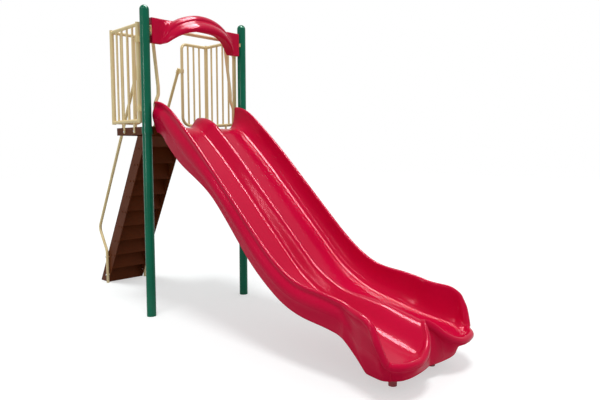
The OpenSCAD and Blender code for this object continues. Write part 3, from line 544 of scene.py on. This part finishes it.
def bed_rows():
    rows = list(entry_rows)
    while rows[-1] < straight_end:
        rows.append(rows[-1] + straight_step)
    while rows[-1] < bed_length - exit_reach:
        rows.append(rows[-1] + wave_step)
    start = rows[-1]
    return rows + [start + (bed_length - start) * k / exit_rows for k in range(1, exit_rows + 1)]


def skirt_column(here, path, s, y, at_lip):
    """The skirt's points below a point of the rim, given the rim's direction and the point's row and line."""
    out = Vector((path.y, -path.x, 0.0)).normalized()
    under = path.cross(out)
    turn = toward_exit(s, turn_from, turn_run)
    calm_turn = toward_exit(s, calm_from, calm_run)
    fade = fade_most * toward_exit(s, fade_from, fade_run)
    closing = math.exp(-((y / fork_calm) ** 2)) if at_lip else 0.0
    out = out * (1 - fork_thin * closing)
    notch = fork_fill * short_at(y) if at_lip and y < chute_y else 0.0
    foot_x = foot_centre + (here.x + notch - foot_centre) * foot_share
    inward = Vector((foot_x - here.x, here.y * (foot_share - 1), 0))
    floor_z, floor_slope = floor_at(s)[1:]
    slope = floor_slope * (1 - turn)
    deep = along(skirt_depths, s) / side_form[-1][1]
    thick = thick_at(s)
    bead = exit_form[bead_rows - 1][2] * thick
    low = here.z - foot_height - bead
    tall = 0.0 if at_lip and y <= chute_y else ease((here.z - floor_z - tall_from) / tall_run)
    down = Vector((math.sin(slope), 0.0, math.cos(slope)))
    column = []
    for m in range(len(side_form)):
        scale = thick if m < roll_rows else deep
        swell = thick if m < roll_rows else 1.0
        if m >= bead_rows:
            swell -= fade
        side = here + side_form[m][0] * swell * out - side_form[m][1] * scale * down
        proud, share, depth = exit_form[m]
        share += (wall_form[m][0] - share) * tall
        exit_ = here + proud * thick * out + share * inward
        if m < bead_rows:
            exit_ = exit_ + depth * thick * under
        else:
            depth += (wall_form[m][1] - depth) * tall
            exit_ = exit_ - Vector((0, 0, bead + depth * low))
        column.append(put(side.lerp(exit_, calm_turn if m < calm_rows else turn)))
    return column


def wave_bed():
    """The double chute: a grid laid to the wave, its border drawn down into skirts, then given its skin."""
    half = half_section()
    section = [(part, -1) for part in reversed(half[1:])] + [(part, 1) for part in half]
    rows = bed_rows()
    piece, at = grid(len(rows), len(section))
    mesh = piece.data
    for (i, j), index in at.items():
        part, side = section[j]
        mesh.vertices[index].co = put(skin_point(rows[i], part, side))

    last, edge = len(rows) - 1, len(section) - 1
    border = [(i, 0) for i in range(last + 1)]
    border += [(last, j) for j in range(1, edge)]
    border += [(i, edge) for i in range(last, -1, -1)]
    crest = [skin_point(rows[i], *section[j]) for i, j in border]
    levels = []
    for k, (i, j) in enumerate(border):
        before, after = crest[max(0, k - path_reach)], crest[min(len(crest) - 1, k + path_reach)]
        path = (after - before).normalized()
        levels.append(skirt_column(crest[k], path, rows[i], section[j][0][0], i == last))
    ring = [at[place] for place in border]
    for m in range(len(side_form)):
        ring = drawn_out(mesh, ring)
        for k, v in enumerate(ring):
            mesh.vertices[v].co = levels[k][m]

    # The entry's face: below each wall it joins the skirt's end, and between them it ends level with it.
    sill = levels[0][-1].z
    wall = len(half) - next(k for k, part in enumerate(half) if part[0] >= wall_foot) - 1
    face = []
    for j in range(edge + 1):
        from_rim = min(j, edge - j)
        column = [mesh.vertices[at[0, 0 if j < edge / 2 else edge]].co] + levels[0 if j < edge / 2 else -1]
        if from_rim <= wall:
            face.append(column[round((len(column) - 1) * from_rim / wall)].copy())
        else:
            here = mesh.vertices[at[0, j]].co
            face.append(Vector((here.x, here.y, sill)))
    head = [at[0, j] for j in range(edge + 1)]
    for j, v in enumerate(drawn_out(mesh, head)):
        mesh.vertices[v].co = face[j]
    in_edit("VERT", lambda v: True, lambda: bpy.ops.mesh.remove_doubles(threshold=weld))
    modify(piece, "SOLIDIFY", thickness=bed_skin * MM, offset=-1.0)
    modify(piece, "SUBSURF", levels=1, render_levels=1)
    finished(piece, "wave_bed", "crimson_plastic", "slide_bed")


wave_bed()


# Hood

hood_low, hood_high, hood_arch, hood_crown, hood_reach, hood_depth = 2610.0, 2842.0, 135.0, 83.0, 190.0, 66.0
hood_half = (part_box("slide_hood")[1][1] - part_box("slide_hood")[0][1]) / 2 / MM
# Shares of the half width taken by the arch and by the bulge, and how sharply the lip and the back turn down.
hood_arch_half, hood_bulge_half, lip_turn, back_turn, back_rise = 0.76, 0.81, 2.6, 5, 1.35
# The panel's rounded edges, as distances from its faces: a point on the round, its ends on the two faces, and
# the row that keeps the face flat. Then the front's least height, and the steps of the top edge above it.
hood_nip, hood_ease, hood_round, hood_turn, hood_flat = 2.0, 3.0, 9.0, 10.0, 40.0
hood_least, top_steps = 30.0, (2.0, 3.0, 4.0)
# Stations across, and how far each end's flat is set in, in metres.
hood_stations, end_insets = 64, (0.003, 0.012)
# Front from lip to top edge: share of the height, share of the reach.
hood_form = [
    (0.0, 0.86), (0.03, 0.93), (0.08, 0.98), (0.15, 1.0), (0.23, 0.99), (0.31, 0.955), (0.39, 0.9),
    (0.46, 0.835), (0.53, 0.75), (0.59, 0.665), (0.63, 0.62), (0.66, 0.608), (0.7, 0.612), (0.75, 0.61),
    (0.81, 0.58), (0.87, 0.535), (0.92, 0.48), (0.96, 0.42), (0.985, 0.36), (1.0, 0.28),
]


def hood_ring(y):
    """Closed section of the hood at a place across: a flat panel at the back, the rolled front before it."""
    back, front = -hood_depth / 2, hood_depth / 2
    away = min(1.0, abs(y) / (hood_arch_half * hood_half))
    lip = hood_low + hood_arch * (1 - away ** lip_turn)
    share = max(0.0, 1 - (y / (hood_bulge_half * hood_half)) ** 2)
    edge = max(lip + hood_least, hood_low + (hood_high + hood_crown - hood_low) * math.sqrt(share))
    reach = hood_reach * math.sqrt(share)
    under = hood_low + back_rise * hood_arch * (1 - away ** back_turn)
    inner, top = back + hood_round, edge + top_steps[2]
    ring = [(back, under + hood_flat), (back, under + hood_turn)]
    ring += [(back + hood_nip, under + hood_ease), (inner, under)]
    first = (front + reach * hood_form[0][1], lip)
    for t in (0.3, 0.6, 0.9):
        ring.append((inner + (first[0] - inner) * t, under + (lip - under) * t))
    ring += [(front + reach * out, lip + (edge - lip) * up) for up, out in hood_form]
    ring += [(front, max(edge + top_steps[0], hood_high - hood_round))]
    ring += [(front - hood_nip, max(edge + top_steps[1], hood_high - hood_ease))]
    ring += [(front - hood_round, max(top, hood_high)), (0.0, max(hood_high, (top + hood_high) / 2))]
    ring += [(inner, hood_high), (back + hood_nip, hood_high - hood_ease)]
    ring += [(back, hood_high - hood_round), (back, hood_high - hood_flat)]
    return ring


def arched_hood():
    """The moulded hood between the posts: a grid wrapped round its sections and closed at the ends."""
    inner = hood_half - hood_turn
    stations = [-hood_half, -hood_half + hood_ease, -inner]
    stations += [-inner + 2 * inner * k / hood_stations for k in range(1, hood_stations)]
    stations += [inner, hood_half - hood_ease, hood_half]
    count = len(hood_ring(0.0))
    piece, at = grid(len(stations), count + 1)
    mesh = piece.data
    for (i, j), index in at.items():
        y = stations[i]
        x, z = hood_ring(y)[j % count]
        mesh.vertices[index].co = put((x, y, z))
    in_edit("VERT", lambda v: True, lambda: bpy.ops.mesh.remove_doubles(threshold=weld))
    for way in (-1, 1):
        end = way * hood_half * MM
        in_edit(
            "EDGE",
            lambda e: all(abs(mesh.vertices[v].co.y - end) < weld for v in e.vertices),
            bpy.ops.mesh.edge_face_add,
            lambda: bpy.ops.mesh.inset(thickness=end_insets[0]),
            lambda: bpy.ops.mesh.inset(thickness=end_insets[1]),
        )
    in_edit("FACE", lambda f: True, lambda: bpy.ops.mesh.normals_make_consistent(inside=False))
    modify(piece, "SUBSURF", levels=1, render_levels=1)
    finished(piece, "arched_hood", "crimson_plastic", "slide_hood")


arched_hood()


# Floor, light and camera

# Lights that only show as highlights: place, aim, width, depth and watts.
highlights = [
    ((1.15, 0.3, 5.6), (1.15, 0.3, 0.0), 3.4, 1.3, 850.0),
    ((-1.05, 0.3, 5.6), (-1.05, 0.3, 0.0), 1.0, 1.3, 60.0),
    ((1.25, -4.4, 5.4), (1.05, -0.5, 1.1), 3.1, 0.3, 96.0),
    ((0.3, -7.0, 2.4), (-0.2, 0.0, 1.2), 0.5, 3.2, 300.0),
]
floor_size, floor_below, floor_glow = 60.0, 0.0005, 0.515
sky_light, sky_seen = 0.55, 0.45
sun_strength, sun_spread, sun_tilt = 1.5, 14.0, 8.0
# The camera's place from the ground midway between the posts, its pitch and turn in degrees and its lens.
camera_place, camera_pitch, camera_turn = (4.666, -3.258, 1.593), 90 - 5.09, 44.56
camera_lens, camera_sensor = 32.68, 36.0


def studio():
    """Pale floor, even sky, one soft sun and the highlights."""
    bpy.ops.mesh.primitive_plane_add(size=floor_size, location=(0, 0, -floor_below))
    floor = bpy.context.object
    floor.name = "studio_floor"
    f = Finish("studio_floor")
    grain = f.noise(2.0, 3.0)
    colour = f.mix(grain, (0.54, 0.565, 0.565), (0.56, 0.585, 0.585))
    f.set(Base_Color=colour, Roughness=0.9, Specular_IOR_Level=0.0)
    dark = f.node("Emission", {}, {"Color": (0.0, 0.0, 0.0), "Strength": 0.0})
    glow = f.node("Emission", {}, {"Color": (1.0, 1.0, 1.0), "Strength": floor_glow})
    lift = f.node("MixShader", {}, {0: f.seen(), 1: dark, 2: glow})
    both = f.node("AddShader", {}, {0: Value(f, f.shader.outputs[0]), 1: lift})
    f.tree.links.new(both.socket, f.tree.nodes["Material Output"].inputs["Surface"])
    floor.data.materials.append(f.material)

    world = bpy.data.worlds.new("studio_sky")
    bpy.context.scene.world = world
    world.use_nodes = True
    sky = Nodes(world.node_tree)
    back = world.node_tree.nodes["Background"]
    back.inputs["Color"].default_value = (1.0, 1.0, 1.0, 1.0)
    sky.tree.links.new((sky_light + sky.seen() * sky_seen).socket, back.inputs["Strength"])

    tilt = math.radians(sun_tilt)
    bpy.ops.object.light_add(type="SUN", location=(0, 0, 6), rotation=(tilt, tilt, 0))
    lamp = bpy.context.object
    lamp.data.energy = sun_strength
    lamp.data.angle = math.radians(sun_spread)
    for place, aim, wide, high, energy in highlights:
        bpy.ops.object.light_add(type="AREA", location=place)
        gloss = bpy.context.object
        gloss.rotation_euler = (Vector(aim) - gloss.location).to_track_quat("-Z", "Y").to_euler()
        gloss.data.shape = "RECTANGLE"
        gloss.data.size, gloss.data.size_y = wide, high
        gloss.data.energy = energy
        gloss.visible_diffuse = False

    bpy.ops.object.camera_add(
        location=(post_middle * MM + camera_place[0], camera_place[1], camera_place[2]),
        rotation=(math.radians(camera_pitch), 0.0, math.radians(camera_turn)),
    )
    camera = bpy.context.object
    camera.data.sensor_width = camera_sensor
    camera.data.lens = camera_lens
    bpy.context.scene.camera = camera
    bpy.context.scene.view_settings.view_transform = "Standard"


studio()
